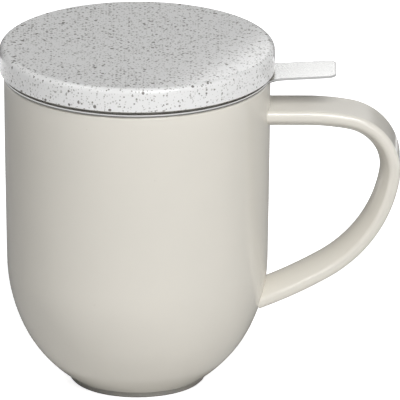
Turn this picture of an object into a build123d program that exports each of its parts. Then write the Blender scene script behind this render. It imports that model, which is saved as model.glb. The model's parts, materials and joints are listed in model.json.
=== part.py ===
"""Lidded tea mug with a lift-out infuser basket, in millimetres.

The mug's axis is Z, its foot stands on Z = 0 and the handle points along +X.
The infuser hangs by its flange on the mug's rim, and the lid lies on that flange.
"""

from build123d import *
import os
from math import cos, degrees, pi, radians, sin

# Mug: a nearly straight wall that turns through a round bowl into a small foot.
MUG_HEIGHT = 106.0
RIM_RADIUS = 44.05
WALL_LEAN = 0.4  # degrees from upright, at the rim
SHOULDER_HEIGHT = 41.7  # where the wall turns into the bowl
SHOULDER_INSET = 0.88  # how far the wall has closed in by then
BELLY_HEIGHT = 19.9  # half way down the bowl
BELLY_INSET = 5.95
WALL = 3.6
RIM_EDGE = 1.2  # rounding on both sides of the rim's flat land
FLOOR = 4.6
FLOOR_BLEND = 12.0  # where the bowl runs into the floor, inside
FOOT_RADIUS = 22.4
FOOT_HEIGHT = 2.1
FOOT_LEDGE = 0.55  # the glazed bowl stands out this far over the bare foot
FOOT_RING_WIDTH = 3.6
FOOT_RECESS = 1.2
FOOT_BEVEL = 0.6  # the bare foot is sponged to a bevel

# Handle: a strap with a flat outside and a crowned inside, bent into an ear. The
# distances out are from the rim, the drops are from the rim's height.
STRAP_WIDTH = 18.8
STRAP_THICKNESS = 6.8
STRAP_SIDE = 3.2  # the crown starts this far in from the outside
STRAP_EDGE = 1.6
STRAP_SHOULDER = 2.0  # rounding between the crown and the sides
ARM_DROP = 10.5  # top of the upper arm
ARM_RUN = 11.65  # the upper arm is level as far out as this
KNUCKLE_OUT = 26.65  # first part of the upper bend ends here
KNUCKLE_DROP = 11.9
GRIP_OUT = 42.65  # back of the ear, where it is upright
GRIP_DROP = 34.8
TAIL_OUT = 19.3  # underside of the lower arm, half way along
TAIL_HEIGHT = 37.3
ROOT_HEIGHT = 26.35  # underside of the lower arm, inside the mug's wall

# Infuser: drawn collar, stamped flange with a thumb tab, slotted sleeve and pan.
SHEET = 0.7
FLANGE_OVERHANG = 0.35  # the flange stands out this far beyond the mug's rim
COLLAR_CLEARANCE = 0.8  # between the collar and the inside of the mug's wall
COLLAR_DEPTH = 11.0
COLLAR_BEND = 1.6
LIP_DEPTH = 5.0
SLEEVE_SHEET = 0.5
SLEEVE_CLEARANCE = 3.85  # between the sleeve and the inside of the mug's wall
SLEEVE_DIP = 10.7  # the sleeve reaches this far below the mug's shoulder
WELD_GAP = 0.05  # between sheets that are spot welded one inside the other
TAB_WIDTH = 16.0
TAB_LENGTH = 21.3
TAB_CORNER = 2.8
TAB_ROOT = 5.5
TAB_RISE = 3.0  # degrees
TAB_BEND = 12.0
SLOT_WIDTH = 0.9
SLOT_PITCH = 5.6  # from slot to slot around the sleeve
SLOT_ROWS = 3
SLOT_BRIDGE = 3.4  # solid sheet between two rows
SLOT_BORDER = 2.0  # solid sheet between the slots and the welded edges
SEAM_WIDTH = 6.0  # solid strip along the sleeve's welded seam
PAN_HEIGHT = 5.0
PAN_RINGS = 3
PAN_HUB = 7.0  # radius of the pan's solid centre
PAN_SLOTS = 12  # in the inner ring, twice as many in the next, and so on

# Lid: a thick disc with a shadow gap under its edge and a ring that locates it.
LID_OVERHANG = 1.45
LID_THICKNESS = 8.3
LID_TOP_EDGE = 1.8
LID_LOWER_BEVEL = 0.45
SHADOW_GAP = 1.0
SHADOW_DEPTH = 3.5
LID_RING_CLEARANCE = 0.8
LID_RING_WIDTH = 4.0
LID_RING_DEPTH = 3.6
LID_RING_BEVEL = 0.6
LID_PLATE = 5.0  # thickness of the lid above its dished underside

# Places that follow from the sizes above.
SHOULDER_RADIUS = RIM_RADIUS - SHOULDER_INSET
MOUTH_RADIUS = RIM_RADIUS - WALL
FLOOR_HEIGHT = FOOT_RECESS + FLOOR
FLANGE_RADIUS = RIM_RADIUS + FLANGE_OVERHANG
FLANGE_TOP = MUG_HEIGHT + SHEET
FLANGE_MIDDLE = MUG_HEIGHT + SHEET / 2
NECK_RADIUS = MOUTH_RADIUS - COLLAR_CLEARANCE - SHEET / 2  # middle of the sheet
SHELF_HEIGHT = MUG_HEIGHT - COLLAR_DEPTH
SLEEVE_RADIUS = MOUTH_RADIUS - SLEEVE_CLEARANCE
SLEEVE_BASE = SHOULDER_HEIGHT - SLEEVE_DIP
LIP_RADIUS = SLEEVE_RADIUS - SLEEVE_SHEET - WELD_GAP
LID_RADIUS = RIM_RADIUS + LID_OVERHANG
LID_BASE = FLANGE_TOP + SHADOW_GAP
LID_TOP = LID_BASE + LID_THICKNESS


def turned(face):
    """A closed outline in radius and height, turned about the mug's axis."""
    return revolve(Plane.XZ * face, Axis.Z)


def outline(*points):
    """A closed outline of straight runs."""
    return make_face(Polyline(*points, close=True))


def corners(face, places):
    """The face's corners that lie nearest to the given places."""
    return [face.vertices().sort_by_distance(Vector(*place))[0] for place in places]


def rounded(face, radius, *places):
    """The face with its corners at the given places rounded."""
    return fillet(corners(face, places), radius)


def bevelled(face, length, *places):
    """The face with its corners at the given places bevelled."""
    return chamfer(corners(face, places), length)


def arcs_through(points, direction):
    """Arcs from point to point, each one leaving as the one before it arrived."""
    arcs = []
    for start, end in zip(points, points[1:]):
        arcs.append(TangentArc(start, end, tangent=direction))
        direction = arcs[-1] % 1
    return arcs


def joints_moved(arcs, distances):
    """The arcs' ends, moved square to the arcs, to the right of the way they run."""
    ends = [(arcs[0] @ 0, arcs[0] % 0)] + [(arc @ 1, arc % 1) for arc in arcs]
    return [end + step * way.rotate(Axis.Z, -90) for (end, way), step in zip(ends, distances)]


def bowl_curve(inset):
    """Wall and bowl from the rim down to the foot, inset from the outer face."""
    direction = Vector(-sin(radians(WALL_LEAN)), -cos(radians(WALL_LEAN)))
    outer = arcs_through(
        [
            Vector(RIM_RADIUS, MUG_HEIGHT),
            Vector(SHOULDER_RADIUS, SHOULDER_HEIGHT),
            Vector(RIM_RADIUS - BELLY_INSET, BELLY_HEIGHT),
            Vector(FOOT_RADIUS + FOOT_LEDGE, FOOT_HEIGHT),
        ],
        direction,
    )
    return arcs_through(joints_moved(outer, [inset] * 4), direction)


def filled_bowl(inset):
    """Half section of all that lies inside the inset bowl curve."""
    arcs = bowl_curve(inset)
    top = arcs[0] @ 0
    heel = arcs[-1] @ 1
    closing = Polyline(heel, (0, heel.Y), (0, top.Y), top)
    return make_face(Curve() + [*arcs, closing])


def mug_body():
    """Cup with a flat-topped rim, a flat floor inside and a bare foot ring."""
    foot_inside = FOOT_RADIUS - FOOT_RING_WIDTH
    foot = outline(
        (0, FOOT_RECESS),
        (foot_inside - FOOT_RECESS, FOOT_RECESS),
        (foot_inside, 0),
        (FOOT_RADIUS, 0),
        (FOOT_RADIUS, FOOT_HEIGHT),
        (0, FOOT_HEIGHT),
    )
    foot = bevelled(foot, FOOT_BEVEL, (FOOT_RADIUS, 0))
    hollow = filled_bowl(WALL)
    hollow -= Rectangle(2 * RIM_RADIUS, 2 * FLOOR_HEIGHT)
    hollow = rounded(hollow, FLOOR_BLEND, (FOOT_RADIUS, FLOOR_HEIGHT))
    section = filled_bowl(0) + foot - hollow
    section = rounded(section, RIM_EDGE, (RIM_RADIUS, MUG_HEIGHT), (MOUTH_RADIUS, MUG_HEIGHT))
    return turned(section)


def strap_section():
    """The strap cut across, its flat outside along the top."""
    half = STRAP_WIDTH / 2
    left = (-half, -STRAP_SIDE)
    right = (half, -STRAP_SIDE)
    crown = ThreePointArc(left, (0, -STRAP_THICKNESS), right)
    sides = Polyline(left, (-half, 0), (half, 0), right)
    section = make_face(Curve() + [crown, sides])
    section = rounded(section, STRAP_EDGE, (-half, 0), (half, 0))
    return rounded(section, STRAP_SHOULDER, left, right)


def mug_handle():
    """Strap swept round the ear, cut to sit on the mug's outer wall."""
    arm_top = MUG_HEIGHT - ARM_DROP
    level = Line((MOUTH_RADIUS, arm_top), (RIM_RADIUS + ARM_RUN, arm_top))
    bends = arcs_through(
        [
            level @ 1,
            Vector(RIM_RADIUS + KNUCKLE_OUT, MUG_HEIGHT - KNUCKLE_DROP),
            Vector(RIM_RADIUS + GRIP_OUT, MUG_HEIGHT - GRIP_DROP),
            Vector(RIM_RADIUS + TAIL_OUT, TAIL_HEIGHT),
            Vector(MOUTH_RADIUS, ROOT_HEIGHT),
        ],
        level % 1,
    )
    back = Plane.XZ * (Curve() + [level, *bends])
    start = Plane(back @ 0, x_dir=(0, 1, 0), z_dir=back % 0)
    strap = sweep(start * strap_section(), path=back)
    return strap - turned(filled_bowl(0))


def collar():
    """Drawn neck below the flange: a bend, a shelf for the sleeve and a lip."""
    bend_start = Vector(NECK_RADIUS + COLLAR_BEND, FLANGE_MIDDLE)
    bend_end = Vector(NECK_RADIUS, FLANGE_MIDDLE - COLLAR_BEND)
    bend = TangentArc(bend_start, bend_end, tangent=(-1, 0))
    shelf = SHELF_HEIGHT + SHEET / 2
    lip = LIP_RADIUS - SHEET / 2
    drop = Polyline(bend_end, (NECK_RADIUS, shelf), (lip, shelf), (lip, SHELF_HEIGHT - LIP_DEPTH))
    return turned(trace(Curve() + [bend, drop], SHEET))


def flange_and_tab():
    """Flat blank with the flange's and tab's outline, its tab bent slightly up.

    The blank is what a tall prism over the outline and a wide bent strip share.
    """
    tip = FLANGE_RADIUS + TAB_LENGTH
    half = TAB_WIDTH / 2
    plan = Circle(FLANGE_RADIUS) + Pos(tip / 2, 0) * Rectangle(tip, TAB_WIDTH)
    plan = rounded(plan, TAB_ROOT, (FLANGE_RADIUS, half), (FLANGE_RADIUS, -half))
    plan = rounded(plan, TAB_CORNER, (tip, half), (tip, -half))
    plan -= Circle(NECK_RADIUS + COLLAR_BEND)
    prism = extrude(Plane.XY.offset(MUG_HEIGHT - SHEET) * plan, TAB_LENGTH)
    level = Line((-LID_RADIUS, FLANGE_MIDDLE), (RIM_RADIUS, FLANGE_MIDDLE))
    rise = radians(TAB_RISE)
    curl_end = level @ 1 + TAB_BEND * Vector(sin(rise), 1 - cos(rise))
    curl = TangentArc(level @ 1, curl_end, tangent=level % 1)
    slope = Line(curl_end, curl_end + TAB_LENGTH * (curl % 1))
    strip = trace(Curve() + [level, curl, slope], SHEET)
    return prism & extrude(Plane.XZ * strip, LID_RADIUS, both=True)


def infuser_rim():
    """Flange, thumb tab and neck, drawn and stamped from one sheet."""
    return flange_and_tab() + collar()


def sleeve_slots():
    """Upright slots in staggered rows, left out along the welded seam."""
    lowest = SLEEVE_BASE + PAN_HEIGHT + SLOT_BORDER
    highest = SHELF_HEIGHT - LIP_DEPTH - SLOT_BORDER
    length = (highest - lowest - (SLOT_ROWS - 1) * SLOT_BRIDGE) / SLOT_ROWS
    columns = int((2 * pi * SLEEVE_RADIUS - SEAM_WIDTH) / SLOT_PITCH - 0.5)
    seam = degrees(SEAM_WIDTH / SLEEVE_RADIUS)
    step = (360 - seam) / (columns + 0.5)
    slot = Pos(SLEEVE_RADIUS, 0, length / 2) * Box(4 * SLEEVE_SHEET, SLOT_WIDTH, length)
    slots = []
    for row in range(SLOT_ROWS):
        height = lowest + row * (length + SLOT_BRIDGE)
        first = 180 + seam / 2 + step * (0.5 + row % 2) / 2
        slots += [Pos(0, 0, height) * Rot(0, 0, first + column * step) * slot for column in range(columns)]
    return slots


def basket_wall():
    """Slotted sleeve, which butts against the collar's shelf."""
    wall = outline(
        (SLEEVE_RADIUS, SLEEVE_BASE),
        (SLEEVE_RADIUS, SHELF_HEIGHT),
        (SLEEVE_RADIUS - SLEEVE_SHEET, SHELF_HEIGHT),
        (SLEEVE_RADIUS - SLEEVE_SHEET, SLEEVE_BASE),
    )
    return turned(wall) - sleeve_slots()


def pan_slots():
    """Radial slots in rings, more of them in each ring further out."""
    outermost = LIP_RADIUS - SHEET - SLOT_BORDER
    length = (outermost - PAN_HUB - (PAN_RINGS - 1) * SLOT_BRIDGE) / PAN_RINGS
    slots = []
    for ring in range(PAN_RINGS):
        middle = PAN_HUB + length / 2 + ring * (length + SLOT_BRIDGE)
        count = PAN_SLOTS * (ring + 1)
        slot = Pos(middle, 0, SLEEVE_BASE) * Box(length, SLOT_WIDTH, 4 * SHEET)
        slots += [Rot(0, 0, 360 * index / count) * slot for index in range(count)]
    return slots


def basket_floor():
    """Shallow pan with slots in its floor, welded inside the sleeve's lower end."""
    inside = LIP_RADIUS - SHEET
    pan = outline(
        (0, SLEEVE_BASE),
        (LIP_RADIUS, SLEEVE_BASE),
        (LIP_RADIUS, SLEEVE_BASE + PAN_HEIGHT),
        (inside, SLEEVE_BASE + PAN_HEIGHT),
        (inside, SLEEVE_BASE + SHEET),
        (0, SLEEVE_BASE + SHEET),
    )
    return turned(pan) - pan_slots()


def lid():
    """Thick disc, dished underneath inside the ring that drops into the collar."""
    ring = NECK_RADIUS - SHEET / 2 - LID_RING_CLEARANCE
    ring_base = FLANGE_TOP - LID_RING_DEPTH
    dish = ring - LID_RING_WIDTH
    dish_top = LID_TOP - LID_PLATE
    seat = LID_RADIUS - SHADOW_DEPTH
    section = outline(
        (0, LID_TOP),
        (LID_RADIUS, LID_TOP),
        (LID_RADIUS, LID_BASE),
        (seat, LID_BASE),
        (seat, FLANGE_TOP),
        (ring, FLANGE_TOP),
        (ring, ring_base),
        (dish, ring_base),
        (dish, dish_top),
        (0, dish_top),
    )
    section = rounded(section, LID_TOP_EDGE, (LID_RADIUS, LID_TOP))
    section = bevelled(section, LID_LOWER_BEVEL, (LID_RADIUS, LID_BASE))
    section = bevelled(section, LID_RING_BEVEL, (ring, ring_base), (dish, ring_base))
    return turned(section)


PARTS = {
    "mug_body": mug_body,
    "mug_handle": mug_handle,
    "infuser_rim": infuser_rim,
    "basket_wall": basket_wall,
    "basket_floor": basket_floor,
    "lid": lid,
}

os.makedirs("parts", exist_ok=True)
for name, make in PARTS.items():
    export_step(make(), f"parts/{name}.step")
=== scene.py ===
"""Looks for the lidded tea mug: glaze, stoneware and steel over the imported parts.

Lengths are in metres, +Z is up and the handle points along +X. The mug's axis is
the Z axis, so most places are a height and a distance from that axis.
"""

import json
from math import cos, pi, radians, sin, sqrt

import bpy
import numpy as np
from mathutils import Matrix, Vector


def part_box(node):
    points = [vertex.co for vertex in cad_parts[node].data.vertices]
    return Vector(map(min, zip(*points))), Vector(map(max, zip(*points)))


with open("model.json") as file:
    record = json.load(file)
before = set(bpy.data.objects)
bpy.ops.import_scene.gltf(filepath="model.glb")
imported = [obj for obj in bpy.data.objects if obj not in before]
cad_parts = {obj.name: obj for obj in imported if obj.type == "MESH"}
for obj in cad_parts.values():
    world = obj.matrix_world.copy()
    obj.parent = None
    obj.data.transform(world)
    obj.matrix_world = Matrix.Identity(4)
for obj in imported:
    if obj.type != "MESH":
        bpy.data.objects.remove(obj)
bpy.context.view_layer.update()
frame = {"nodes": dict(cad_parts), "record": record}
scene = bpy.context.scene

MM = 0.001

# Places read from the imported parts.
MUG_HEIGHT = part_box("mug_body")[1].z
LID_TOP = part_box("lid")[1].z
LID_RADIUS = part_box("lid")[1].y
LID_RING_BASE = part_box("lid")[0].z
FLANGE_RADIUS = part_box("infuser_rim")[1].y
TAB_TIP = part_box("infuser_rim")[1].x
SLEEVE_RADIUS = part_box("basket_wall")[1].y
SLEEVE_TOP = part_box("basket_wall")[1].z
SLEEVE_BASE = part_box("basket_floor")[0].z
PAN_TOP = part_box("basket_floor")[1].z

# Mug.
FOOT_HEIGHT = 2.1 * MM  # bare clay up to here, dark partly as painted contact shade round the foot
FOOT_RADIUS = 22.4 * MM
PAINTED_RIM_SHADE_DEPTH = 1.1 * MM  # painted shade under the infuser's flange reaches this far down from the rim
GLAZE_WAVE = 0.3 * MM  # how far the glaze's lower edge wanders, and how soft it is

# Lid.
LID_THICKNESS = 8.3 * MM
LID_EDGE = 1.6 * MM  # the grains get fewer from this far in from the side
BARE_RING = 0.45 * MM  # the lid's ring is wiped clean this far up
BARE_SEAT = 37.8 * MM  # and its underside from this far out, where the bare clay is dark partly as painted shade in the gap under the lid's edge
WIPED_EDGE = 0.2 * MM  # width over which the wiped glaze fades out

# Infuser.
BRUSH_RUN = 9 * MM  # length of a brush line
BRUSH_WIDTH = 0.14 * MM
BRUSH_TURN_RADIUS = 40 * MM  # the round lines have that length at this radius
WELD_RADIUS = 0.9 * MM
WELD_COUNT = 24
WELD_DROP = 2.5 * MM  # the upper row lies this far below the sleeve's top
SLEEVE_BAND = 2 * MM  # welds and seam show only this near the sleeve's outside
SEAM_HALF_WIDTH = 0.45 * MM
TAB_HALF_WIDTH = 8.0 * MM
TAB_CORNER = 2.8 * MM
TAB_ROOT = 5.5 * MM  # radius of the hollow curves where the tab leaves the flange
ROOT_Y = TAB_HALF_WIDTH + TAB_ROOT  # their centres
ROOT_X = sqrt((FLANGE_RADIUS + TAB_ROOT) ** 2 - ROOT_Y**2)
ROOT_START = ROOT_X * FLANGE_RADIUS / (FLANGE_RADIUS + TAB_ROOT)  # where they meet the flange

# Grains, as shares of their full radius.
SMALLEST_GRAIN = 0.25
GRAIN_WOBBLE = 0.5  # how unevenly the outline runs
GRAIN_FADE = 0.2  # width of the soft edge

# Camera: far off with a long lens, a little above the mug, with the handle in profile.
CAMERA_ELEVATION = 19.48  # in degrees
CAMERA_DISTANCE = 5.75
CAMERA_LENS = 1563.4  # in millimetres, as the sensor's width is
CAMERA_SENSOR = 36
CAMERA_AIM = Vector((0.02075, 0.0, 0.06161))  # about the middle of mug, handle and lid

# Stage: a floor, two round mats on it and an upright card behind the mug.
FLOOR_RADIUS = 3.0
FLOOR_TONE = 0.85
TABLE_MAT_RADIUS = 0.32
TABLE_MAT_TOP = 0.2 * MM
TABLE_MAT_TONE = 0.5
# The small dark mat round the foot is painted shade: the glaze mirrors it as the floor's contact
# shadow.
FOOT_SHADE_MAT_RADIUS = 1.25 * FOOT_RADIUS
FOOT_SHADE_MAT_TOP = 0.3 * MM
FOOT_SHADE_MAT_TONE = 0.08
BACK_CARD = [(-0.25, 0.005), (0.20, 0.005), (0.20, 0.12), (0.10, 0.18), (0.0, 0.245), (-0.25, 0.4)]
BACK_CARD_Y = 0.3
BACK_CARD_TONE = 0.25

# Lamps that face the mug: azimuth and elevation in degrees, width, height and radiance.
LAMP_DISTANCE = 2.0
LAMPS = {
    "key": (17, 46, 1.1, 0.8, 11.1),
    "low": (15, 12, 0.8, 0.8, 2.7),
    "overhead": (0, 85, 0.8, 0.8, 1.0),
    "left": (-75, 58, 0.8, 0.8, 2.6),
    "behind": (180, 12, 1.1, 0.8, 5.0),
    "strip": (-31, 27, 0.05, 0.5, 60.0),
}

# A small lamp over the back card, which the lid's top mirrors as a sheen.
SHEEN_PLACE = Vector((0.0442, BACK_CARD_Y, 0.2522))
SHEEN_AIM = Vector((0.03, -0.02, LID_TOP))
SHEEN_WIDTH = 0.10
SHEEN_HEIGHT = 0.06
SHEEN_RADIANCE = 1.0
SHEEN_TILT = radians(-33.6)


def rgb(red, green, blue):
    """An opaque colour."""
    return (red, green, blue, 1.0)


def grey(tone):
    """An opaque grey, from 0 for black to 1 for white."""
    return rgb(tone, tone, tone)


# Colours. Where there are two, a pattern goes from one to the other.
CLAY_AND_SHADE = (rgb(0.34, 0.33, 0.30), rgb(0.46, 0.44, 0.405))  # fired without glaze, and dark partly as painted shade: contact shade round the foot and shade in the gap under the lid
CLAY_GRAIN = rgb(0.12, 0.105, 0.09)
OFF_WHITE = (rgb(0.715, 0.69, 0.625), rgb(0.76, 0.725, 0.655))
PINHOLE = rgb(0.42, 0.37, 0.30)
# painted shade for the rim just under the infuser's flange
PAINTED_RIM_SHADE = rgb(0.36, 0.33, 0.28)
PALE_GREY = (rgb(0.76, 0.76, 0.755), rgb(0.81, 0.81, 0.805))
BRIGHT_STEEL = (rgb(0.84, 0.84, 0.83), rgb(0.90, 0.90, 0.89))  # flange and tab
SATIN_STEEL = (rgb(0.55, 0.55, 0.54), rgb(0.68, 0.68, 0.67))  # drawn and rolled parts
STRAW = rgb(0.60, 0.50, 0.36)  # heat tint beside the welds and along the seam
ROLLED_EDGE = grey(0.25)
# dark partly as the cut edge's own colour and partly as painted shade, deepest on the edge's lower
# part
SHEARED_EDGE_AND_SHADE = grey(0.12)

# The lid's grains: spacing, full radius, how far they are thinned out on the lid's side,
# colour, and how strongly it covers.
GRAINS = {
    "dust": (0.85 * MM, 0.44 * MM, 0.10, rgb(0.33, 0.32, 0.30), 0.58),
    "fine": (1.28 * MM, 0.54 * MM, 0.22, rgb(0.16, 0.15, 0.135), 0.78),
    "bold": (2.70 * MM, 0.68 * MM, 0.00, rgb(0.07, 0.06, 0.05), 0.85),
}


class Value:
    """A node's output that takes part in Python sums."""

    def __init__(self, tree, socket):
        self.tree = tree
        self.socket = socket

    def also(self, name):
        """Another output of the same node."""
        return Value(self.tree, self.socket.node.outputs[name])

    def math(self, operation, *others):
        """The result of a Math node on this value and the others."""
        terms = dict(enumerate([self, *others]))
        return add_node(self.tree, "Math", {"operation": operation}, terms)

    def __add__(self, other):
        return self.math("ADD", other)

    __radd__ = __add__

    def __mul__(self, other):
        return self.math("MULTIPLY", other)

    __rmul__ = __mul__

    def __sub__(self, other):
        return self.math("SUBTRACT", other)

    def __rsub__(self, other):
        return self * -1 + other

    def __truediv__(self, other):
        return self.math("DIVIDE", other)

    def __abs__(self):
        return self.math("ABSOLUTE")

    def hypot(self, other):
        """The long side of a right triangle on this value and the other."""
        return (self * self + other * other).math("SQRT")

    def ramp(self, low, high):
        """0 up to low, 1 from high on, and a smooth rise between them."""
        sockets = {"Value": self, "From Min": low, "From Max": high}
        return add_node(self.tree, "MapRange", {"interpolation_type": "SMOOTHSTEP"}, sockets)


def add_node(tree, kind, settings, sockets, output=0):
    """A new node with its settings made first, then its sockets set or linked."""
    node = tree.nodes.new("ShaderNode" + kind)
    for name, setting in settings.items():
        setattr(node, name, setting)
    for name, term in sockets.items():
        if isinstance(term, Value):
            tree.links.new(term.socket, node.inputs[name])
        else:
            node.inputs[name].default_value = term
    return Value(tree, node.outputs[output])


def bare_material(name):
    """A material with no nodes in its tree."""
    material = bpy.data.materials.new(name)
    material.use_nodes = True
    material.node_tree.nodes.clear()
    return material


def surfaced(tree, surface, kind="Material"):
    """Joins a finished surface to a new output of its tree."""
    output = tree.nodes.new("ShaderNodeOutput" + kind)
    tree.links.new(surface.socket, output.inputs["Surface"])


class Finish:
    """A material put together from a few kinds of pattern."""

    def __init__(self, name):
        self.material = bare_material(name)
        self.tree = self.material.node_tree
        self.place = self.node("TexCoord", output="Object")
        self.x = self.node("SeparateXYZ", {}, {"Vector": self.place})
        self.y = self.x.also("Y")
        self.z = self.x.also("Z")
        self.out = self.x.hypot(self.y)  # distance from the mug's axis
        self.turn = self.y.math("ARCTAN2", self.x)  # angle round it, from the handle

    def node(self, kind, settings={}, sockets={}, output=0):
        """A new node of this material."""
        return add_node(self.tree, kind, settings, sockets, output)

    def vector(self, operation, *terms):
        """The result of a Vector Math node on the terms."""
        return self.node("VectorMath", {"operation": operation}, dict(enumerate(terms)))

    def scaled(self, size, where=None):
        """Places in units of the given size."""
        return self.vector("MULTIPLY", where or self.place, [1 / size] * 3)

    def noise(self, size, detail=2.0, where=None, output=0):
        """Soft random values about 0.5, with features of the given size."""
        sockets = {"Vector": self.scaled(size, where), "Scale": 1.0, "Detail": detail}
        return self.node("TexNoise", {"noise_dimensions": "3D"}, sockets, output)

    def brushed(self, along, across):
        """Fine lines, from the places along and across them."""
        sockets = {"X": along / BRUSH_RUN, "Y": across / BRUSH_WIDTH, "Z": self.z / BRUSH_WIDTH}
        return self.noise(1.0, where=self.node("CombineXYZ", {}, sockets))

    def grains(self, spacing, radius, fewer=0.0):
        """1 inside irregular grains, about spacing apart and up to radius, 0 between them.

        A grain lies round each point of a Voronoi pattern, and a random number of the
        point sets its radius. Where fewer is above 0, the smallest grains go and the
        others shrink.
        """
        shift = self.vector("SUBTRACT", self.noise(radius, output="Color"), [0.5] * 3)
        shift = self.vector("MULTIPLY", shift, [GRAIN_WOBBLE * radius] * 3)
        where = self.scaled(spacing, self.vector("ADD", self.place, shift))
        sockets = {"Vector": where, "Scale": 1.0}
        distance = self.node("TexVoronoi", {"voronoi_dimensions": "3D"}, sockets, "Distance")
        chance = self.node("SeparateColor", {}, {"Color": distance.also("Color")}, "Red")
        full = radius / spacing
        limit = full * (SMALLEST_GRAIN + (1 - SMALLEST_GRAIN) * (chance - fewer))
        return (limit - distance).ramp(0.0, GRAIN_FADE * full)

    def mix(self, share, first, second):
        """Colour that goes from the first to the second as share goes from 0 to 1."""
        sockets = {0: share, 6: first, 7: second}
        return self.node("Mix", {"data_type": "RGBA"}, sockets, output=2)

    def shader(self, bump, **sockets):
        """The finished surface. bump holds pairs of a height from 0 to 1 and its depth."""
        terms = {name.replace("_", " "): term for name, term in sockets.items()}
        normal = {}
        for height, depth in bump:
            relief = {"Height": height, "Distance": depth, "Strength": 1.0}
            normal = {"Normal": self.node("Bump", {}, {**relief, **normal})}
        surfaced(self.tree, self.node("BsdfPrincipled", {}, {**terms, **normal}))
        return self.material


def glaze():
    """Glossy off-white glaze with a ripple and pinholes, darkened on the rim as painted shade
    under the flange, none under the foot, whose bare clay is dark partly as painted contact shade.
    """
    finish = Finish("mug_glaze")
    drift = finish.noise(26 * MM)
    pinholes = finish.grains(7 * MM, 0.22 * MM)
    # painted shade: the rim is darkened just under the infuser's flange, most near the top
    rim = finish.z.ramp(MUG_HEIGHT - PAINTED_RIM_SHADE_DEPTH, MUG_HEIGHT - 0.2 * MM)
    tone = finish.mix(drift, *OFF_WHITE)
    tone = finish.mix(0.35 * pinholes, tone, PINHOLE)
    tone = finish.mix(0.4 * rim, tone, PAINTED_RIM_SHADE)

    grit = finish.noise(0.6 * MM, detail=3.0)
    # the bare foot's clay is dark partly as painted contact shade
    clay_and_shade = finish.mix(grit, *CLAY_AND_SHADE)
    wavy = finish.z + GLAZE_WAVE * finish.noise(3 * MM)
    glazed = wavy.ramp(FOOT_HEIGHT + 0.05 * MM, FOOT_HEIGHT + GLAZE_WAVE)

    ripple = finish.noise(6 * MM, detail=1.0)
    peel = finish.noise(1.3 * MM, detail=1.0)
    return finish.shader(
        bump=[
            (ripple, 0.022 * MM),
            (peel * glazed, 0.0015 * MM),
            (1 - pinholes * glazed, 0.04 * MM),
            (grit * (1 - glazed), 0.06 * MM),
        ],
        Base_Color=finish.mix(glazed, clay_and_shade, tone),
        Roughness=0.85 - 0.74 * glazed + 0.05 * drift,
        IOR=1.5,
    )


def stoneware():
    """Satin pale grey glaze over a body full of dark grains, wiped off where the lid rests, where
    the bare clay is dark partly as painted shade in the gap under the lid's edge.
    """
    finish = Finish("lid_stoneware")
    clouds = finish.noise(9 * MM, detail=3.0)
    side = finish.out.ramp(LID_RADIUS - LID_EDGE, LID_RADIUS - 0.5 * LID_EDGE)
    tone = finish.mix(clouds, *PALE_GREY)
    grains = {}
    for name, (spacing, radius, fewer, colour, cover) in GRAINS.items():
        grains[name] = finish.grains(spacing, radius, fewer * side)
        tone = finish.mix(cover * grains[name], tone, colour)

    ring_foot = LID_RING_BASE + BARE_RING
    over_ring_foot = finish.z.ramp(ring_foot, ring_foot + WIPED_EDGE)
    underside = LID_TOP - LID_THICKNESS + WIPED_EDGE * finish.noise(2 * MM)
    over_underside = (finish.z - underside).ramp(0.15 * MM, 0.25 * MM)
    seat = finish.out.ramp(BARE_SEAT, BARE_SEAT + WIPED_EDGE) * (1 - over_underside)
    glazed = over_ring_foot * (1 - seat)
    grit = finish.noise(0.5 * MM, detail=3.0)
    # the bare seat's clay is dark partly as painted shade in the gap under the lid's edge
    clay_and_shade = finish.mix(grit, *CLAY_AND_SHADE)
    clay_and_shade = finish.mix(0.8 * grains["fine"], clay_and_shade, CLAY_GRAIN)

    satin = finish.noise(0.7 * MM)
    ripple = finish.noise(5 * MM, detail=1.0)
    return finish.shader(
        bump=[
            (ripple, 0.006 * MM),
            (satin * glazed, 0.0015 * MM),
            (1 - grains["fine"].math("MAXIMUM", grains["bold"]), 0.02 * MM),
            (grit * (1 - glazed), 0.05 * MM),
        ],
        Base_Color=finish.mix(glazed, clay_and_shade, tone),
        Roughness=0.8 - 0.73 * glazed + 0.03 * satin + 0.1 * grains["bold"],
        IOR=1.5,
    )


def welds(finish):
    """Spot welds in two rows round the sleeve, the tint round each, and the sleeve's seam."""
    step = 2 * pi / WELD_COUNT
    share = (finish.turn / step + WELD_COUNT + 0.5).math("FRACT") - 0.5
    from_upper = abs(finish.z - (SLEEVE_TOP - WELD_DROP))
    from_lower = abs(finish.z - (SLEEVE_BASE + PAN_TOP) / 2)
    from_row = from_upper.math("MINIMUM", from_lower)
    from_weld = (share * (step * SLEEVE_RADIUS)).hypot(from_row)

    on_sleeve = finish.out.ramp(SLEEVE_RADIUS - 1.25 * SLEEVE_BAND, SLEEVE_RADIUS - SLEEVE_BAND)
    on_sleeve = on_sleeve * (1 - finish.z.ramp(SLEEVE_TOP - 0.2 * MM, SLEEVE_TOP))
    weld = (1 - from_weld.ramp(0.5 * WELD_RADIUS, WELD_RADIUS)) * on_sleeve
    halo = (1 - from_weld.ramp(WELD_RADIUS, 2.2 * WELD_RADIUS)) * on_sleeve

    seam = 1 - abs(finish.y).ramp(0.5 * SEAM_HALF_WIDTH, SEAM_HALF_WIDTH)
    near_handle = finish.x.ramp(SLEEVE_BAND - SLEEVE_RADIUS, 1.5 * SLEEVE_BAND - SLEEVE_RADIUS)
    return weld, halo, seam * (1 - near_handle) * on_sleeve


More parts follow.
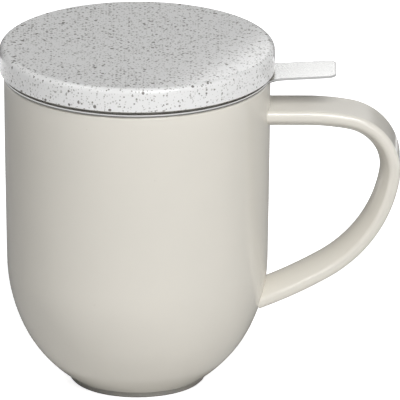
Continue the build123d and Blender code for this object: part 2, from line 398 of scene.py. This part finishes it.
def edges(finish):
    """1 on the sheared edge of flange and tab, and 1 on the rolled band just inside the tab's.

    On the tab the distance from the edge is that to a rectangle with rounded corners,
    and beside its root that to the hollow curves which lead over to the flange.
    """
    side = abs(finish.y)
    corner_x = (finish.x - (TAB_TIP - TAB_CORNER)).math("MAXIMUM", 0.0)
    corner_y = (side - (TAB_HALF_WIDTH - TAB_CORNER)).math("MAXIMUM", 0.0)
    from_tip = TAB_CORNER - corner_x.hypot(corner_y)
    from_root = (finish.x - ROOT_X).hypot(side - ROOT_Y) - TAB_ROOT
    past_root = finish.x.math("GREATER_THAN", ROOT_X)
    from_edge = from_root + past_root * (from_tip - from_root)

    above = finish.z.ramp(MUG_HEIGHT - 0.1 * MM, MUG_HEIGHT)
    on_tab = finish.x.ramp(ROOT_START, ROOT_START + 0.1 * MM)
    flange_edge = finish.out.ramp(FLANGE_RADIUS - 0.08 * MM, FLANGE_RADIUS - 0.03 * MM)
    tab_edge = 1 - from_edge.ramp(0.03 * MM, 0.08 * MM)
    sheared = above * (flange_edge + on_tab * (tab_edge - flange_edge))
    rolled = above * on_tab * (1 - from_edge.ramp(0.2 * MM, 0.6 * MM))
    return sheared, rolled


def steel():
    """Brushed sheet: straight on the flange and tab, round on the drawn and rolled parts."""
    finish = Finish("infuser_steel")
    flat = finish.z.ramp(MUG_HEIGHT - 0.2 * MM, MUG_HEIGHT)
    round_lines = finish.brushed(finish.turn * BRUSH_TURN_RADIUS, finish.out)
    straight_lines = finish.brushed(finish.x, finish.y)
    lines = round_lines + flat * (straight_lines - round_lines)
    smudge = finish.noise(12 * MM)
    weld, halo, seam = welds(finish)
    sheared, rolled = edges(finish)
    # painted shade: 1 on the lower part of the sheared edge, which is darkened to stand in for the
    # shade beneath the flange
    shaded_lower_edge = 1 - finish.z.ramp(MUG_HEIGHT + 0.2 * MM, MUG_HEIGHT + 0.4 * MM)

    bright = finish.mix(lines, *BRIGHT_STEEL)
    satin = finish.mix(lines, *SATIN_STEEL)
    tone = finish.mix(flat, satin, bright)
    tone = finish.mix((0.35 * halo).math("MAXIMUM", 0.5 * seam), tone, STRAW)
    tone = finish.mix(0.5 * rolled, tone, ROLLED_EDGE)
    # the sheared edge is darkened partly for its cut steel and partly as painted shade, most on
    # its lower part
    tone = finish.mix(sheared * (0.3 + 0.65 * shaded_lower_edge), tone, SHEARED_EDGE_AND_SHADE)
    return finish.shader(
        bump=[
            (lines, 0.0015 * MM),
            (1 - weld, 0.12 * MM),
            (seam, 0.1 * MM),
        ],
        Base_Color=tone,
        Metallic=1.0,
        Roughness=0.38 - 0.21 * flat + 0.14 * lines + 0.06 * smudge + 0.15 * sheared,
    )


FINISHES = {"mug_glaze": glaze(), "lid_stoneware": stoneware(), "infuser_steel": steel()}
for part in frame["record"]["subparts"]:
    mesh = frame["nodes"][part["node"]].data
    mesh.materials.clear()
    mesh.materials.append(FINISHES[part["material_slot"]])


def link(name, data):
    """A new object in the scene."""
    thing = bpy.data.objects.new(name, data)
    scene.collection.objects.link(thing)
    return thing


def towards(azimuth, elevation):
    """Unit vector away from the mug. Azimuth 0 is the camera's side and 90 the handle's."""
    turn = radians(azimuth)
    rise = radians(elevation)
    return Vector((sin(turn) * cos(rise), -cos(turn) * cos(rise), sin(rise)))


def softbox(name, place, aim, width, height, radiance, tilt=0.0):
    """A flat lamp at a place, facing the aim, turned by tilt about the line between them."""
    lamp = bpy.data.lights.new(name, "AREA")
    lamp.shape = "RECTANGLE"
    lamp.size = width
    lamp.size_y = height
    lamp.energy = radiance * pi * width * height
    stand = link(name, lamp)
    stand.location = place
    stand.rotation_euler = (place - aim).to_track_quat("Z", "Y").to_euler()
    stand.rotation_euler.rotate_axis("Z", tilt)
    stand.visible_camera = False
    return stand


def seen_white(tree):
    """1 for a ray that shows the backdrop: to the camera, in a gloss or through glass."""
    path = tree.nodes.new("ShaderNodeLightPath")
    camera_ray = Value(tree, path.outputs["Is Camera Ray"])
    glossy = camera_ray.also("Is Glossy Ray")
    clear = camera_ray.also("Is Transmission Ray")
    return camera_ray.math("MAXIMUM", glossy).math("MAXIMUM", clear)


def backdrop():
    """World that is seen as white and casts no light of its own."""
    scene.world = bpy.data.worlds.new("studio")
    scene.world.use_nodes = True
    tree = scene.world.node_tree
    tree.nodes.clear()
    sockets = {"Color": grey(1.0), "Strength": seen_white(tree)}
    surfaced(tree, add_node(tree, "Background", {}, sockets), kind="World")


def disc(radius, height, corners=96):
    """Outline of a flat disc: the points (radius cos t, radius sin t, height)."""
    turn = np.linspace(0, 2 * pi, corners, endpoint=False)
    rim = [radius * np.cos(turn), radius * np.sin(turn), np.full(corners, height)]
    return np.column_stack(rim).tolist()


def flat_mesh(name, points, material):
    """One flat face inside the outline that the points give."""
    mesh = bpy.data.meshes.new(name)
    mesh.from_pydata(points, [], [list(range(len(points)))])
    mesh.materials.append(material)
    return mesh


def card(name, points, tone):
    """A flat grey card on the stage that shows only in the mug's gloss."""
    material = bare_material(name)
    tree = material.node_tree
    surfaced(tree, add_node(tree, "BsdfDiffuse", {}, {"Color": grey(tone)}))
    sheet = link(name, flat_mesh(name, points, material))
    sheet.visible_camera = False
    sheet.visible_diffuse = False
    sheet.visible_shadow = False


def stage_floor():
    """Round pale floor that shows white where no shadow lies on it."""
    material = bare_material("floor")
    tree = material.node_tree
    paper = add_node(tree, "BsdfDiffuse", {}, {"Color": grey(FLOOR_TONE)})
    sockets = {"Color": grey(1.0), "Strength": seen_white(tree) * FLOOR_TONE}
    glow = add_node(tree, "Emission", {}, sockets)
    surfaced(tree, add_node(tree, "AddShader", {}, {0: paper, 1: glow}))
    mesh = flat_mesh("floor", disc(FLOOR_RADIUS, 0.0), material)
    link("floor", mesh)


def camera():
    """The camera, which sees the mug from the side with its handle to the right."""
    lens = bpy.data.cameras.new("camera")
    lens.lens = CAMERA_LENS
    lens.sensor_width = CAMERA_SENSOR
    lens.clip_end = 4 * CAMERA_DISTANCE
    away = towards(0, CAMERA_ELEVATION)
    stand = link("camera", lens)
    stand.location = CAMERA_AIM + CAMERA_DISTANCE * away
    stand.rotation_euler = away.to_track_quat("Z", "Y").to_euler()
    scene.camera = stand


def lamps():
    """The lamps that face the mug, and the one for the lid's sheen."""
    stands = {}
    for name, (azimuth, elevation, width, height, radiance) in LAMPS.items():
        place = CAMERA_AIM + LAMP_DISTANCE * towards(azimuth, elevation)
        stands[name] = softbox(name, place, CAMERA_AIM, width, height, radiance)
    stands["behind"].visible_glossy = False  # lights the far side and shows in no gloss
    stands["strip"].visible_diffuse = False  # shows only in the gloss, as a thin streak
    sheen = (SHEEN_WIDTH, SHEEN_HEIGHT, SHEEN_RADIANCE, SHEEN_TILT)
    softbox("sheen", SHEEN_PLACE, SHEEN_AIM, *sheen)


camera()
backdrop()
stage_floor()
card("table_mat", disc(TABLE_MAT_RADIUS, TABLE_MAT_TOP), TABLE_MAT_TONE)
# painted shade: a near-black mat that the glaze mirrors as the floor's contact shadow round the
# foot
card("foot_shade_mat", disc(FOOT_SHADE_MAT_RADIUS, FOOT_SHADE_MAT_TOP), FOOT_SHADE_MAT_TONE)
card("back_card", [(x, BACK_CARD_Y, z) for x, z in BACK_CARD], BACK_CARD_TONE)
lamps()
scene.view_settings.view_transform = "Standard"
